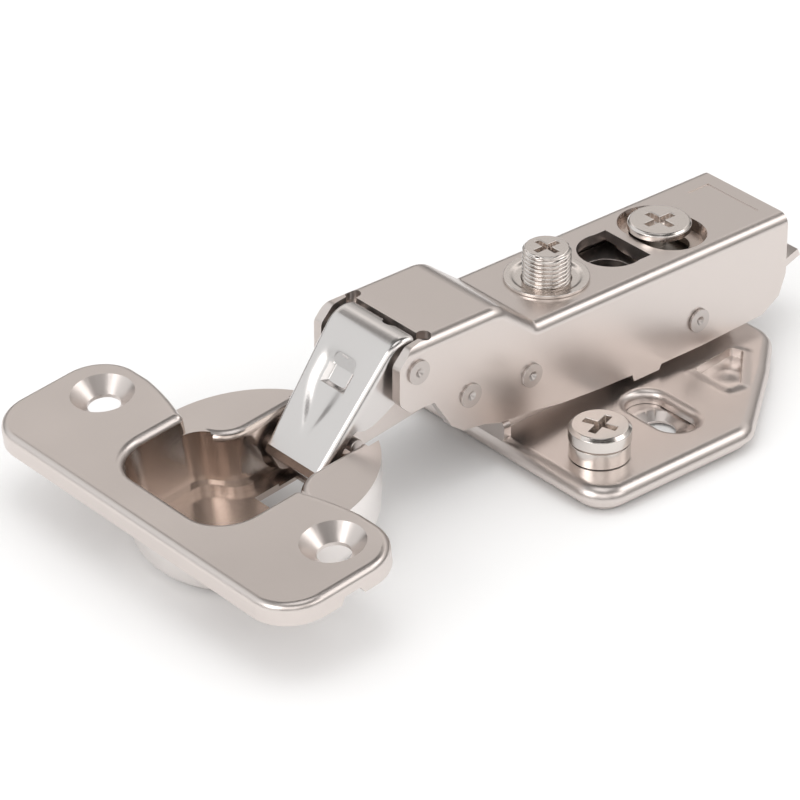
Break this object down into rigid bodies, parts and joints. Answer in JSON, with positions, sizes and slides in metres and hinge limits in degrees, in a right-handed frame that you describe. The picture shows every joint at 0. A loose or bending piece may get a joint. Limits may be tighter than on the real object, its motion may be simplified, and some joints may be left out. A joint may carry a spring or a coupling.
{
  "type": "concealed cup hinge",
  "caption": "Concealed 35 mm cup hinge for furniture doors, clip-on arm with three-way adjustment on a two-piece mounting plate, nickel plated steel",
  "frame": {"origin": "middle of the mounting plate's base face, between its two fixing holes", "axes": "X to the rear of the arm, into the cupboard; Y along the door's edge; Z away from the side panel"},
  "size_m": [0.1165, 0.0636, 0.0249],
  "materials": {
    "plated_sheet": "satin nickel plate",
    "plated_bright": "bright nickel plate",
    "spring_steel": "oiled spring steel"
  },
  "bodies": {
    "base": {"lower_plate": "plated_sheet", "guide_rivet": "plated_bright"},
    "slide": {"upper_plate": "plated_sheet", "clip_adaptor": "plated_sheet", "hook_axle": "plated_bright", "lever_axle": "plated_bright"},
    "height_cam": {"height_eccentric": "plated_bright"},
    "lever": {"release_lever": "plated_sheet", "lever_spring": "spring_steel"},
    "axle": {"rear_axle": "plated_bright"},
    "depth_cam": {"depth_cam_screw": "plated_bright"},
    "arm": {"arm_body": "plated_sheet", "rivet_outer_link": "plated_bright", "rivet_inner_link": "plated_bright", "rivet_spring": "plated_bright", "closing_spring": "spring_steel", "overlay_bush": "plated_bright"},
    "overlay": {"overlay_screw": "plated_bright"},
    "outer": {"outer_link": "plated_sheet"},
    "inner": {"inner_link": "plated_sheet", "cup_pin_inner": "plated_bright"},
    "cup": {"hinge_cup": "plated_sheet", "cup_pin_outer": "plated_bright"}
  },
  "joints": [
    {"name": "height_adjust", "type": "hinge", "parent": "base", "child": "height_cam", "pos_m": [-0.0139, -0.0189, 0.0014], "axis": [0, 0, 1], "range_deg": [-90, 90]},
    {"name": "height_slide", "type": "slide", "parent": "base", "child": "slide", "axis": [0, 1, 0], "range_m": [-0.002, 0.002]},
    {"name": "lever_press", "type": "hinge", "parent": "slide", "child": "lever", "pos_m": [0.022, 0, 0.012], "axis": [0, -1, 0], "range_deg": [0, 12], "stiffness_Nm_per_rad": 0.2},
    {"name": "depth_adjust", "type": "hinge", "parent": "slide", "child": "depth_cam", "pos_m": [0.0143, 0, 0.0166], "axis": [0, 0, 1], "range_deg": [-90, 90]},
    {"name": "depth_slide", "type": "slide", "parent": "slide", "child": "axle", "axis": [1, 0, 0], "range_m": [-0.002, 0.002]},
    {"name": "overlay_tilt", "type": "hinge", "parent": "axle", "child": "arm", "pos_m": [0.01381, 0, 0.00935], "axis": [0, 1, 0], "range_deg": [-1.5, 1.5]},
    {"name": "overlay_adjust", "type": "hinge", "parent": "arm", "child": "overlay", "pos_m": [-0.0068, 0, 0.02], "axis": [0, 0, 1], "range_deg": [-241.5, 241.5]},
    {"name": "outer_pivot", "type": "hinge", "parent": "arm", "child": "outer", "pos_m": [-0.03745, 0, 0.02083], "axis": [0, 1, 0], "range_deg": [-9, 2]},
    {"name": "door_fold", "type": "hinge", "parent": "outer", "child": "cup", "pos_m": [-0.04885, 0, 0.00693], "axis": [0, 1, 0], "range_deg": [-8.64, 104.81]},
    {"name": "inner_pivot", "type": "hinge", "parent": "arm", "child": "inner", "pos_m": [-0.0283, 0, 0.01372], "axis": [0, 1, 0], "range_deg": [-33, 4]}
  ],
  "couplings": [
    {"joint": "height_adjust", "follows": "height_slide", "rad_per_m": 785.4},
    {"joint": "depth_adjust", "follows": "depth_slide", "rad_per_m": -785.4},
    {"joint": "overlay_adjust", "follows": "overlay_tilt", "ratio": 161},
    {"joint": "outer_pivot", "follows": "door_fold", "ratio": -0.07407},
    {"joint": "inner_pivot", "follows": "door_fold", "ratio": -0.30889}
  ]
}
